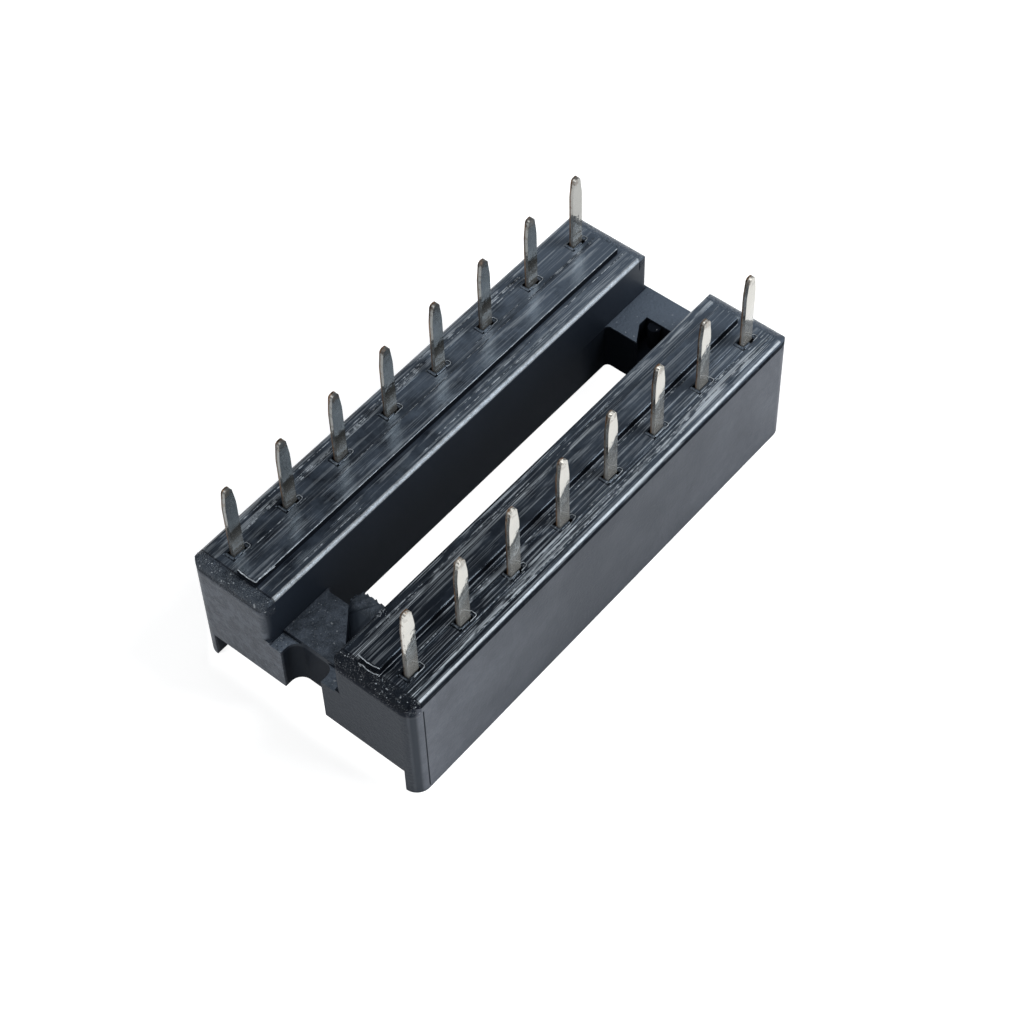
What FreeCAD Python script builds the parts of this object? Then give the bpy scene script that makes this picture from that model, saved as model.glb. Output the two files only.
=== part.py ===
# Dual-in-line socket for integrated circuits: one moulded ladder frame and its spring contacts.
# It lies on the edges of its side walls, which stand out round the circuit, so its solder tails
# point up (+Z).
# X runs along the rows, with the polarity notch at -X. The origin is at the bottom centre.
# Millimetres.
import FreeCAD, Part
import os
import re

import Sketcher

# Driving dimensions: name, size, what it is
SIZES = [
    ("contact_pitch", 2.54, "between neighbouring contacts of a row"),
    ("row_spacing", 7.62, "between the two rows of solder tails"),
    ("contacts_per_row", 8, "contacts in each row"),
    ("end_reach", 1.26, "from the last contact to the end face"),
    ("side_reach", 1.065, "from a row to the long outer face"),
    ("rail_height", 5.1, "from the ground to the top of the rails"),
    ("seat_height", 1.15, "from the ground to the face that seats the circuit"),
    ("corner_radius", 0.55, "upright corners of the frame"),
    ("near_rim_radius", 0.45, "top edge of the end with the notch"),
    ("far_rim_radius", 0.5, "top edge of the other end"),
    ("side_rim_radius", 0.28, "long outer top edges"),
    ("inner_rim_radius", 0.14, "long inner top edges"),
    ("window_width", 2.9, "gap between the two rails"),
    ("mouth_radius", 0.3, "upright corners where the channel opens through the ends"),
    ("window_corner", 0.2, "upright corners of the window"),
    ("near_bar_length", 2.8, "cross bar with the notch, along X"),
    ("far_bar_length", 2.4, "other cross bar, along X"),
    ("bar_height", 3.25, "top of the cross bars"),
    ("strip_length", 0.7, "lowered front strip of the near bar"),
    ("strip_drop", 0.12, "how much lower that strip lies"),
    ("rim_width", 0.8, "from a rail's inner wall to its ridge"),
    ("ridge_width", 0.87, "stand-off ridge on each rail"),
    ("ridge_rise", 0.3, "height of the ridge over the rail"),
    ("ridge_near_gap", 0.55, "from the near end face to the ridge"),
    ("ridge_far_gap", 0.8, "from the ridge to the far end face"),
    ("ridge_rounding", 0.05, "top edges of the ridge"),
    ("notch_width", 1.8, "mouth of the polarity notch"),
    ("notch_depth", 0.72, "depth of the notch, along X"),
    ("notch_shift", 0.06, "centre of the notch off the middle, along Y"),
    ("notch_corner", 0.45, "inner corners of the notch"),
    ("gate_floor", 2.2, "floor of the mould gate wells in the bars"),
    ("near_gate_side", 0.45, "left border of the near well, along Y"),
    ("near_gate_reach", 1.55, "near gate well, into the bar"),
    ("near_gate_run", 1.25, "its slanting border, along X"),
    ("near_gate_slant", 1.0, "its slanting border, along Y"),
    ("near_lip_reach", 0.7, "how far the near gate lip stands into the window"),
    ("near_lip_inset", 0.05, "from the well's border to the lip, along Y"),
    ("near_lip_height", 3.1, "top of that lip"),
    ("near_lip_edge", 0.35, "blunt edge of that lip"),
    ("near_lip_foot", 1.5, "underside of that lip at the bar"),
    ("far_gate_side", 0.55, "left border of the far well, along Y"),
    ("far_gate_reach", 1.2, "far gate well, into the bar"),
    ("far_gate_run", 0.75, "its slanting border, along X"),
    ("far_gate_slant", 0.45, "its slanting border, along Y"),
    ("gate_stub_radius", 0.25, "broken gate stub in the far well"),
    ("gate_stub_height", 3.15, "top of that stub"),
    ("slot_length", 0.8, "slot of a contact, along X"),
    ("slot_width", 0.42, "slot of a contact, along Y"),
    ("slot_bevel", 0.04, "bevel round the slot's mouth"),
    ("cavity_length", 1.15, "contact cavity, along X"),
    ("cavity_width", 1.0, "contact cavity, along Y"),
    ("slot_depth", 1.2, "from the rail's top to the floor of the cavity"),
    ("funnel_flare", 0.16, "lead-in bevel at the cavity's mouth"),
    ("funnel_depth", 0.25, "depth of that bevel"),
    ("sheet", 0.18, "thickness of the contact's metal"),
    ("strip_width", 1.0, "plates of the contact, along X"),
    ("neck_width", 0.72, "part of the contact in its slot, along X"),
    ("tail_width", 0.5, "solder tail, along X"),
    ("tail_length", 3.25, "solder tail over the rail"),
    ("tail_shoulder", 0.2, "where the strip narrows, under the rail's top"),
    ("tip_length", 0.8, "tapered end of the tail"),
    ("tip_width", 0.3, "width at the very end of the tail"),
    ("tip_rounding", 0.14, "rounding of the very end"),
    ("taper_rounding", 2.5, "easing between the tail and its taper"),
    ("barb_height", 0.4, "retaining barb on the strip's edges"),
    ("barb_drop", 0.5, "from the rail's top to the barb"),
    ("throat", 0.6, "between the two plates of a contact"),
    ("root_height", 0.6, "plates of the contact over its leaves"),
    ("web_rise", 0.15, "from the start of the leaves to the side web"),
    ("root_drop", 0.9, "from the cavity's floor to the start of the leaves"),
    ("leaf_gap", 0.1, "between the leaves where they touch a lead"),
    ("touch_drop", 0.9, "from the start of the leaves to that place"),
    ("tip_drop", 0.65, "from that place to the leaves' free ends"),
    ("leaf_tip_width", 0.7, "width of the free ends"),
    ("leaf_bend", 0.8, "bend of the leaves at the touching place"),
    ("sheet_bend", 0.25, "outer radius of the sharp bends"),
]
NAMES = {name for name, size, note in SIZES}

# Lengths that follow from the driving ones
ROW_HALF = "(contacts_per_row - 1) * contact_pitch / 2"
HALF_LENGTH = f"({ROW_HALF} + end_reach)"
HALF_WIDTH = "(row_spacing / 2 + side_reach)"
HALF_WINDOW = "window_width / 2"
NEAR_EDGE = f"(near_bar_length - {HALF_LENGTH})"
FAR_EDGE = f"({HALF_LENGTH} - far_bar_length)"
CAVITY_FLOOR = "(rail_height - slot_depth)"
SPARE = "2"  # how far a cut runs past the solid
BEVEL_LEAN = "-45"  # degrees by which a bevelled mouth opens up
ALONG_X = FreeCAD.Vector(1, 0, 0)
ALONG_Y = FreeCAD.Vector(0, 1, 0)

doc = FreeCAD.newDocument("socket")
sheet = doc.addObject("Spreadsheet::Sheet", "Sizes")


def fill_sheet():
    """Writes each driving dimension into a cell of its own, with its name as the alias."""
    for row, (name, size, note) in enumerate(SIZES, start=1):
        sheet.set(f"A{row}", name)
        sheet.set(f"B{row}", str(size))
        sheet.set(f"C{row}", note)
        sheet.setAlias(f"B{row}", name)
    doc.recompute()


def bound(text):
    """The text as an expression, with each dimension's name pointing into the sheet."""
    return re.sub(r"[a-z_]+", lambda found: name_in_sheet(found.group()), str(text))


def name_in_sheet(word):
    return f"Sizes.{word}" if word in NAMES else word


def size_of(text):
    """The number that such a text stands for."""
    return float(sheet.evalExpression(bound(text)))


def new_body(name):
    body = doc.addObject("PartDesign::Body", name)
    body.Label = name
    return body


def origin_part(body, role):
    """One of the body's own origin planes or axes."""
    return next(part for part in body.Origin.OriginFeatures if part.Role == role)


def new_sketch(body, name, plane, offset="0"):
    """An empty sketch on one of the body's origin planes, moved along its normal."""
    sketch = body.newObject("Sketcher::SketchObject", name)
    sketch.AttachmentSupport = (origin_part(body, plane), [""])
    sketch.MapMode = "FlatFace"
    sketch.setExpression("AttachmentOffset.Base.z", bound(offset))
    return sketch


def bind_point(sketch, line, end, across, up):
    """Holds one end of a line at two expressions, measured from the sketch's origin."""
    for kind, text in (("DistanceX", across), ("DistanceY", up)):
        constraint = Sketcher.Constraint(kind, -1, 1, line, end, size_of(text))
        index = sketch.addConstraint(constraint)
        sketch.setExpression(f"Constraints[{index}]", bound(text))


def add_segment(sketch, start, finish, centre):
    """Adds a line, or an arc round a centre, and returns its index and which end is its start."""
    if centre is None:
        return sketch.addGeometry(Part.LineSegment(start, finish)), 1
    turn = (start - centre).cross(finish - centre).z
    first, last = (start, finish) if turn > 0 else (finish, start)
    middle = (first - centre) + (last - centre)
    middle.Length = (first - centre).Length
    arc = Part.Arc(first, centre + middle, last)
    return sketch.addGeometry(arc), 1 if turn > 0 else 2


def add_outline(sketch, corners):
    """Draws a closed outline. A corner is (across, up), or (across, up, centre across, centre up,
    radius) where a rounding starts that runs on to the next corner."""
    spots = [FreeCAD.Vector(size_of(corner[0]), size_of(corner[1]), 0) for corner in corners]
    pieces = []
    for number, corner in enumerate(corners):
        centre = None
        if len(corner) > 2:
            centre = FreeCAD.Vector(size_of(corner[2]), size_of(corner[3]), 0)
        following = spots[(number + 1) % len(spots)]
        pieces.append(add_segment(sketch, spots[number], following, centre))
    for number, corner in enumerate(corners):
        piece, end = pieces[number]
        after, after_end = pieces[(number + 1) % len(pieces)]
        sketch.addConstraint(Sketcher.Constraint("Coincident", piece, 3 - end, after, after_end))
        bind_point(sketch, piece, end, corner[0], corner[1])
        if len(corner) > 2:
            radius = Sketcher.Constraint("Radius", piece, size_of(corner[4]))
            index = sketch.addConstraint(radius)
            sketch.setExpression(f"Constraints[{index}]", bound(corner[4]))


def add_circle(sketch, across, up, radius):
    centre = FreeCAD.Vector(size_of(across), size_of(up), 0)
    circle = Part.Circle(centre, FreeCAD.Vector(0, 0, 1), size_of(radius))
    piece = sketch.addGeometry(circle)
    bind_point(sketch, piece, 3, across, up)
    index = sketch.addConstraint(Sketcher.Constraint("Radius", piece, size_of(radius)))
    sketch.setExpression(f"Constraints[{index}]", bound(radius))


def box_outline(low_across, high_across, low_up, high_up):
    return [(low_across, low_up), (high_across, low_up), (high_across, high_up), (low_across, high_up)]


def rounded_outline(low_across, high_across, low_up, high_up, radius):
    """A rectangle with four round corners."""
    left, right = f"{low_across} + {radius}", f"{high_across} - {radius}"
    below, above = f"{low_up} + {radius}", f"{high_up} - {radius}"
    return [
        (left, low_up),
        (right, low_up, right, below, radius),
        (high_across, below),
        (high_across, above, right, above, radius),
        (right, high_up),
        (left, high_up, left, above, radius),
        (low_across, above),
        (low_across, below, left, below, radius),
    ]


def pad(body, sketch, length, both_ways=False, taper="0"):
    feature = body.newObject("PartDesign::Pad", f"{sketch.Name}_pad")
    feature.Profile = sketch
    feature.Refine = False
    feature.Midplane = both_ways
    feature.setExpression("Length", bound(length))
    if taper != "0":
        feature.setExpression("TaperAngle", bound(taper))
    doc.recompute()
    return feature


def pocket(body, sketch, depth, reverse=False, both_ways=False, taper="0"):
    """Cuts a sketch out of the body, and makes sure that something was cut."""
    before = body.Tip.Shape.Volume
    feature = body.newObject("PartDesign::Pocket", f"{sketch.Name}_cut")
    feature.Profile = sketch
    feature.Refine = False
    feature.Midplane = both_ways
    feature.Reversed = reverse
    feature.setExpression("Length", bound(depth))
    if taper != "0":
        feature.setExpression("TaperAngle", bound(taper))
    doc.recompute()
    if not feature.Shape.Volume < before:
        raise RuntimeError(f"{feature.Name} cuts nothing")
    return feature


def edges_through(shape, spots, direction):
    """Names of the straight edges along a direction that pass through one of the spots."""
    names = []
    for number, edge in enumerate(shape.Edges, start=1):
        if edge.Curve.TypeId != "Part::GeomLine":
            continue
        along = abs(edge.tangentAt(edge.FirstParameter).dot(direction)) > 0.999
        if along and any(edge.distToShape(Part.Vertex(spot))[0] < 1e-4 for spot in spots):
            names.append(f"Edge{number}")
    return names


def fillet(body, name, radius, spots, direction):
    """Rounds the body's edges along a direction that pass through the spots."""
    base = body.Tip
    names = edges_through(base.Shape, spots, direction)
    if not names:
        raise RuntimeError(f"{name} finds no edge")
    feature = body.newObject("PartDesign::Fillet", name)
    feature.Base = (base, names)
    feature.setExpression("Radius", bound(radius))
    doc.recompute()
    return feature


def round_over(body, name, plane, edge, top, radius, side):
    """Rounds a long top edge by cutting its waste away. The solid lies below the edge's position
    along X or Y where side is 1, and above it where side is -1."""
    run = f"{side} * {radius}"
    outside = f"{edge} + {side} * {SPARE}"
    corners = [
        (edge, f"{top} - {radius}", f"{edge} - {run}", f"{top} - {radius}", radius),
        (f"{edge} - {run}", top),
        (f"{edge} - {run}", f"{top} + {SPARE}"),
        (outside, f"{top} + {SPARE}"),
        (outside, f"{top} - {radius}"),
    ]
    sketch = new_sketch(body, name, plane)
    add_outline(sketch, corners)
    reach = f"2 * ({HALF_LENGTH} + {SPARE})"
    pocket(body, sketch, reach, both_ways=True)


def frame_block(body):
    """The closed block that the frame is cut from, hollowed out below the face that seats the
    circuit. The two side walls that are left there are in line with the cavities' outer walls."""
    block = new_sketch(body, "block", "XY_Plane")
    ends = (f"-{HALF_LENGTH}", HALF_LENGTH)
    sides = (f"-{HALF_WIDTH}", HALF_WIDTH)
    add_outline(block, rounded_outline(*ends, *sides, "corner_radius"))
    pad(body, block, "rail_height")
    seat = new_sketch(body, "seat", "XY_Plane")
    past = f"({HALF_LENGTH} + {SPARE})"
    inside = "(row_spacing + cavity_width) / 2"
    add_outline(seat, box_outline(f"-{past}", past, f"-{inside}", inside))
    pocket(body, seat, "seat_height", reverse=True)


def rail_rims(body):
    """The rounded top edges of the block: both ends, then both long sides."""
    round_over(body, "near_rim", "XZ_Plane", f"-{HALF_LENGTH}", "rail_height", "near_rim_radius", -1)
    round_over(body, "far_rim", "XZ_Plane", HALF_LENGTH, "rail_height", "far_rim_radius", 1)
    round_over(body, "left_rim", "YZ_Plane", HALF_WIDTH, "rail_height", "side_rim_radius", 1)
    round_over(body, "right_rim", "YZ_Plane", f"-{HALF_WIDTH}", "rail_height", "side_rim_radius", -1)


def channel_outline():
    """The channel's plan: straight walls that round off into both end faces."""
    past = f"({HALF_LENGTH} + {SPARE})"
    wide = f"({HALF_WINDOW} + mouth_radius)"
    turn = f"({HALF_LENGTH} - mouth_radius)"
    return [
        (f"-{past}", f"-{wide}"),
        (f"-{HALF_LENGTH}", f"-{wide}", f"-{turn}", f"-{wide}", "mouth_radius"),
        (f"-{turn}", f"-{HALF_WINDOW}"),
        (turn, f"-{HALF_WINDOW}", turn, f"-{wide}", "mouth_radius"),
        (HALF_LENGTH, f"-{wide}"),
        (past, f"-{wide}"),
        (past, wide),
        (HALF_LENGTH, wide, turn, wide, "mouth_radius"),
        (turn, HALF_WINDOW),
        (f"-{turn}", HALF_WINDOW, f"-{turn}", wide, "mouth_radius"),
        (f"-{HALF_LENGTH}", wide),
        (f"-{past}", wide),
    ]


def channel_and_window(body):
    """The channel between the rails over both cross bars, and the window between the bars."""
    channel = new_sketch(body, "channel", "XY_Plane", "rail_height")
    add_outline(channel, channel_outline())
    pocket(body, channel, "rail_height - bar_height")
    round_over(body, "left_inner_rim", "YZ_Plane", HALF_WINDOW, "rail_height", "inner_rim_radius", -1)
    round_over(body, "right_inner_rim", "YZ_Plane", f"-{HALF_WINDOW}", "rail_height", "inner_rim_radius", 1)
    window = new_sketch(body, "window", "XY_Plane", "bar_height")
    sides = (f"-{HALF_WINDOW}", HALF_WINDOW)
    add_outline(window, rounded_outline(NEAR_EDGE, FAR_EDGE, *sides, "window_corner"))
    pocket(body, window, "bar_height")


def stand_off_ridges(body):
    """The ridge on each rail that holds the frame off the board."""
    ridges = new_sketch(body, "ridges", "XY_Plane", "rail_height")
    low, high = f"ridge_near_gap - {HALF_LENGTH}", f"{HALF_LENGTH} - ridge_far_gap"
    inner = f"({HALF_WINDOW} + rim_width)"
    outer = f"({inner} + ridge_width)"
    add_outline(ridges, box_outline(low, high, inner, outer))
    add_outline(ridges, box_outline(low, high, f"-{outer}", f"-{inner}"))
    pad(body, ridges, "ridge_rise")
    top = size_of("rail_height + ridge_rise")
    spots = [FreeCAD.Vector(0, way * size_of(edge), top) for way in (1, -1) for edge in (inner, outer)]
    fillet(body, "ridge_edges", "ridge_rounding", spots, ALONG_X)


def notch_outline():
    """The notch's plan: a mouth at the near end face and two round inner corners."""
    low = "(notch_shift - notch_width / 2)"
    high = "(notch_shift + notch_width / 2)"
    deep = f"(notch_depth - {HALF_LENGTH})"
    mouth = f"-({HALF_LENGTH} + {SPARE})"
    start = f"{deep} - notch_corner"
    lower, upper = f"{low} + notch_corner", f"{high} - notch_corner"
    return [
        (mouth, low),
        (start, low, start, lower, "notch_corner"),
        (deep, lower),
        (deep, upper, start, upper, "notch_corner"),
        (start, high),
        (mouth, high),
    ]


def polarity_notch(body):
    """The notch in the near bar, and the lowered front strip that it opens from."""
    strip = new_sketch(body, "front_strip", "XY_Plane", "bar_height")
    mouth = f"-({HALF_LENGTH} + {SPARE})"
    add_outline(strip, box_outline(mouth, f"strip_length - {HALF_LENGTH}", f"-{HALF_WINDOW}", HALF_WINDOW))
    pocket(body, strip, "strip_drop")
    notch = new_sketch(body, "notch", "XY_Plane", "bar_height")
    add_outline(notch, notch_outline())
    pocket(body, notch, "bar_height")


def near_gate(body):
    """The well that the mould's gate left in the near bar, and the lip that slopes out of it
    into the window."""
    well = new_sketch(body, "near_well", "XY_Plane", "bar_height")
    slant_end = f"{NEAR_EDGE} - near_gate_run"
    back = f"{NEAR_EDGE} - near_gate_reach"
    outline = [
        (NEAR_EDGE, "near_gate_side"),
        (slant_end, "near_gate_side - near_gate_slant"),
        (back, "near_gate_side - near_gate_slant"),
        (back, f"-{HALF_WINDOW}"),
        (f"{NEAR_EDGE} + {SPARE}", f"-{HALF_WINDOW}"),
        (f"{NEAR_EDGE} + {SPARE}", "near_gate_side"),
    ]
    add_outline(well, outline)
    pocket(body, well, "bar_height - gate_floor")
    lip = new_sketch(body, "near_lip", "XZ_Plane", "near_lip_inset - near_gate_side")
    tip = f"{NEAR_EDGE} + near_lip_reach"
    outline = [
        (slant_end, "gate_floor"),
        (tip, "near_lip_height"),
        (tip, "near_lip_height - near_lip_edge"),
        (NEAR_EDGE, "near_lip_foot"),
        (slant_end, "near_lip_foot"),
    ]
    add_outline(lip, outline)
    pad(body, lip, f"near_gate_side - near_lip_inset + {HALF_WINDOW} + rim_width / 2")


def far_gate(body):
    """The gate well in the far bar, with the broken stub of the runner against its back."""
    well = new_sketch(body, "far_well", "XY_Plane", "bar_height")
    back = f"{FAR_EDGE} + far_gate_reach"
    outline = [
        (FAR_EDGE, "far_gate_side - far_gate_slant"),
        (f"{FAR_EDGE} + far_gate_run", "far_gate_side"),
        (back, "far_gate_side"),
        (back, f"-{HALF_WINDOW}"),
        (f"{FAR_EDGE} - {SPARE}", f"-{HALF_WINDOW}"),
        (f"{FAR_EDGE} - {SPARE}", "far_gate_side - far_gate_slant"),
    ]
    add_outline(well, outline)
    pocket(body, well, "bar_height - gate_floor")
    stub = new_sketch(body, "far_stub", "XY_Plane", "gate_floor")
    centre = (f"{back} - gate_stub_radius / 2", "far_gate_side - far_gate_slant")
    add_circle(stub, *centre, "gate_stub_radius")
    pad(body, stub, "gate_stub_height - gate_floor")


def both_rows(sketch, long_half, inward, outward):
    """The same rectangle at the first contact of each row, with its reach along X, towards the
    window and towards the outside."""
    low, high = f"-{ROW_HALF} - {long_half}", f"{long_half} - {ROW_HALF}"
    inner, outer = f"row_spacing / 2 - {inward}", f"row_spacing / 2 + {outward}"
    add_outline(sketch, box_outline(low, high, inner, outer))
    add_outline(sketch, box_outline(low, high, f"-({outer})", f"-({inner})"))


def contact_stations(body):
    """A slot, a cavity and their bevelled mouths for the first contact of each row, repeated
    along the rows. The cavity's outer wall runs on into the side wall, so no bevel is there."""
    slot = new_sketch(body, "slot", "XY_Plane", "rail_height")
    both_rows(slot, "slot_length / 2", "slot_width / 2", "slot_width / 2")
    slot_cut = pocket(body, slot, "slot_depth")
    mouth = new_sketch(body, "slot_mouth", "XY_Plane", "rail_height")
    wide = "(slot_width / 2 + slot_bevel)"
    both_rows(mouth, "(slot_length / 2 + slot_bevel)", wide, wide)
    mouth_cut = pocket(body, mouth, "slot_bevel", taper=BEVEL_LEAN)
    cavity = new_sketch(body, "cavity", "XY_Plane", "seat_height")
    both_rows(cavity, "cavity_length / 2", "cavity_width / 2", "cavity_width / 2")
    cavity_cut = pocket(body, cavity, f"{CAVITY_FLOOR} - seat_height", reverse=True)
    funnel = new_sketch(body, "funnel", "XY_Plane", "seat_height")
    inward = "(cavity_width / 2 + funnel_flare)"
    both_rows(funnel, "(cavity_length / 2 + funnel_flare)", inward, "cavity_width / 2")
    lean = "-atan(funnel_flare / funnel_depth)"
    funnel_cut = pocket(body, funnel, "funnel_depth", reverse=True, taper=lean)
    pattern = body.newObject("PartDesign::LinearPattern", "contact_rows")
    pattern.Originals = [slot_cut, mouth_cut, cavity_cut, funnel_cut]
    pattern.Direction = (origin_part(body, "X_Axis"), [""])
    pattern.setExpression("Length", bound(f"2 * {ROW_HALF}"))
    pattern.setExpression("Occurrences", bound("contacts_per_row"))
    body.Tip = pattern
    doc.recompute()


def build_housing():
    body = new_body("housing")
    frame_block(body)
    rail_rims(body)
    channel_and_window(body)
    stand_off_ridges(body)
    polarity_notch(body)
    near_gate(body)
    far_gate(body)
    contact_stations(body)
    return body


TAIL_TOP = "(rail_height + tail_length)"
SHELF = f"({CAVITY_FLOOR} - sheet)"  # underside of the shelf that seats on the cavity's floor
ROOT = f"({CAVITY_FLOOR} - root_drop)"
TOUCH_LEVEL = f"({ROOT} - touch_drop)"
LEAF_TIP = f"({TOUCH_LEVEL} - tip_drop)"
PLATE = "throat / 2"  # inner face of the contact's plates, off the middle of its row
PLATE_BACK = "(throat / 2 + sheet)"
TOUCH = "leaf_gap / 2"
TOUCH_BACK = "(leaf_gap / 2 + sheet)"


def outer_strip(body):
    """One strip: solder tail, retaining part, shelf, outer plate and outer leaf."""
    strip = new_sketch(body, "outer_strip", "YZ_Plane")
    outline = [
        (PLATE, SHELF),
        (PLATE, ROOT),
        (TOUCH, TOUCH_LEVEL),
        (PLATE, LEAF_TIP),
        (PLATE_BACK, LEAF_TIP),
        (TOUCH_BACK, TOUCH_LEVEL),
        (PLATE_BACK, ROOT),
        (PLATE_BACK, CAVITY_FLOOR),
        ("sheet / 2", CAVITY_FLOOR),
        ("sheet / 2", TAIL_TOP),
        ("-sheet / 2", TAIL_TOP),
        ("-sheet / 2", SHELF),
    ]
    add_outline(strip, outline)
    pad(body, strip, "cavity_length", both_ways=True)


def inner_strip(body):
    """The inner plate and leaf, and the side web that is folded round to them."""
    strip = new_sketch(body, "inner_strip", "YZ_Plane")
    top = f"{ROOT} + root_height"
    outline = [
        (f"-{PLATE}", top),
        (f"-{PLATE}", ROOT),
        (f"-{TOUCH}", TOUCH_LEVEL),
        (f"-{PLATE}", LEAF_TIP),
        (f"-{PLATE_BACK}", LEAF_TIP),
        (f"-{TOUCH_BACK}", TOUCH_LEVEL),
        (f"-{PLATE_BACK}", ROOT),
        (f"-{PLATE_BACK}", top),
    ]
    add_outline(strip, outline)
    pad(body, strip, "strip_width", both_ways=True)
    web = new_sketch(body, "web", "XY_Plane", f"{ROOT} + web_rise")
    side = "strip_width / 2"
    add_outline(web, box_outline(f"{side} - sheet", side, f"-{PLATE_BACK}", PLATE_BACK))
    pad(body, web, "root_height - web_rise")


def strip_front(body):
    """Cuts the strip to its outline as seen along Y: tapered tail, shoulders, barbs, leaves. The
    sketch is that outline inside a wide box, and what lies between the two is cut away."""
    front = new_sketch(body, "front", "XZ_Plane")
    shoulder = "rail_height - tail_shoulder"
    barb_top = "rail_height - barb_drop"
    barb_foot = f"{barb_top} - barb_height"
    below = f"{LEAF_TIP} - {SPARE}"
    right = [
        ("tip_width / 2", TAIL_TOP),
        ("tail_width / 2", f"{TAIL_TOP} - tip_length"),
        ("tail_width / 2", shoulder),
        ("neck_width / 2", shoulder),
        ("neck_width / 2", barb_top),
        ("slot_length / 2", barb_top),
        ("slot_length / 2", barb_foot),
        ("neck_width / 2", barb_foot),
        ("neck_width / 2", CAVITY_FLOOR),
        ("strip_width / 2", CAVITY_FLOOR),
        ("strip_width / 2", ROOT),
        ("leaf_tip_width / 2", LEAF_TIP),
        ("leaf_tip_width / 2", below),
    ]
    left = [(f"-{across}", up) for across, up in reversed(right)]
    add_outline(front, right + left)
    wide = f"(cavity_length + {SPARE})"
    add_outline(front, box_outline(f"-{wide}", wide, f"{below} - {SPARE}", f"{TAIL_TOP} + {SPARE}"))
    pocket(body, front, f"2 * ({PLATE_BACK} + {SPARE})", both_ways=True)


def bend_spots(across_texts, up_text):
    up = size_of(up_text)
    return [FreeCAD.Vector(0, size_of(across), up) for across in across_texts]


def strip_bends(body):
    """Rounds the folds of the sheet and the end of the tail."""
    spots = bend_spots([TOUCH, f"-{TOUCH}", TOUCH_BACK, f"-{TOUCH_BACK}"], TOUCH_LEVEL)
    fillet(body, "leaf_bends", "leaf_bend", spots, ALONG_X)
    spots = bend_spots([PLATE_BACK], CAVITY_FLOOR) + bend_spots(["-sheet / 2"], SHELF)
    fillet(body, "sheet_bends", "sheet_bend", spots, ALONG_X)
    top = size_of(TAIL_TOP)
    half = size_of("tip_width / 2")
    spots = [FreeCAD.Vector(half, 0, top), FreeCAD.Vector(-half, 0, top)]
    fillet(body, "tail_end", "tip_rounding", spots, ALONG_Y)
    top = size_of(f"{TAIL_TOP} - tip_length")
    half = size_of("tail_width / 2")
    spots = [FreeCAD.Vector(half, 0, top), FreeCAD.Vector(-half, 0, top)]
    fillet(body, "tail_taper", "taper_rounding", spots, ALONG_Y)


def place_contact(body, number):
    """Stands a contact in its station. Numbers run up the +Y row from the notch, then back down
    the other row, as the leads of a circuit are counted."""
    count = int(size_of("contacts_per_row"))
    row, step = divmod(number - 1, count)
    station = step if row == 0 else count - 1 - step
    side = 1 if row == 0 else -1
    body.Placement.Rotation = FreeCAD.Rotation(FreeCAD.Vector(0, 0, 1), 180 * row)
    body.setExpression("Placement.Base.x", bound(f"{station} * contact_pitch - {ROW_HALF}"))
    body.setExpression("Placement.Base.y", bound(f"{side} * row_spacing / 2"))


def build_contacts():
    """One contact with its features, and a clone of it for each other station."""
    first = new_body("contact_01")
    outer_strip(first)
    inner_strip(first)
    strip_front(first)
    strip_bends(first)
    bodies = [first]
    for number in range(2, 2 * int(size_of("contacts_per_row")) + 1):
        body = new_body(f"contact_{number:02d}")
        copy = body.newObject("PartDesign::FeatureBase", f"clone_{number:02d}")
        copy.BaseFeature = first
        body.Tip = copy
        bodies.append(body)
    for number, body in enumerate(bodies, start=1):
        place_contact(body, number)
    doc.recompute()
    return bodies


def check_document():
    """Stops if any object of the document failed to compute."""
    for item in doc.Objects:
        if "Invalid" in item.State or "Error" in item.State:
            raise RuntimeError(f"{item.Name} failed: {item.State}")


def write_part(body):
    """Checks a sub-part's solid and writes it under the sub-part's own name."""
    shape = body.Shape
    if shape.isNull() or not shape.isValid() or len(shape.Solids) != 1:
        raise RuntimeError(f"{body.Label} is not one valid solid")
    shape.exportStep(f"parts/{body.Label}.step")
    print(f"{body.Label}: {shape.Volume:.3f} cubic mm")


fill_sheet()
parts = [build_housing()] + build_contacts()
doc.recompute()
check_document()
os.makedirs("parts", exist_ok=True)
for part in parts:
    write_part(part)
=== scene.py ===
# Dual-in-line socket lying on its circuit side: finishes of the moulding and the contacts, the
# small marks that moulding leaves, plain studio light and a camera.
import math
import random
from types import SimpleNamespace

import bmesh
import bpy
from mathutils import Matrix, Vector


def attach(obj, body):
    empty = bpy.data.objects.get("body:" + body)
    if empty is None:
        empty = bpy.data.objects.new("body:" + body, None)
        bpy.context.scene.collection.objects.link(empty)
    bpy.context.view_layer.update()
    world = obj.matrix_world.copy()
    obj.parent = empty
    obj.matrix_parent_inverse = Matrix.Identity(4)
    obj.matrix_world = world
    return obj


MM = 0.001  # metres in a millimetre, the unit of every length below

HALF_LENGTH = 10.15
HALF_WIDTH = 4.875
RAIL_TOP = 5.1
RIDGE_TOP = 5.4
BAR_TOP = 3.25
ROW = 3.81  # from the middle to a row of tails
PITCH = 2.54
TAILS = 8  # in each row
HALF_ROW = (TAILS - 1) / 2 * PITCH
SLOT_END = 0.4  # from a tail's middle to the ends of its slot
SLOT_SIDE = 0.21  # from a tail's middle to the sides of its slot
INNER_WALL = 1.45
RIDGE_INNER = 2.25
RIDGE_OUTER = 3.12
RIDGE_NEAR = -9.6
RIDGE_FAR = 9.35
OUTER_LANE = 4.0  # where the outer lane of a rail's top begins
RIM_LINE = 9.64  # where the sparked end rims meet the tooled rail tops
STRIP_LINE = -9.45  # where the near bar's front strip meets its platform
NOTCH_END = -8.9
PIT_START = 6.5  # the far bar's gate well begins beyond this
GATE_FLOOR = 2.2
LIP_START = -8.6  # where the near gate's lip rises out of its well
LIP_SLOPE = 0.46

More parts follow.
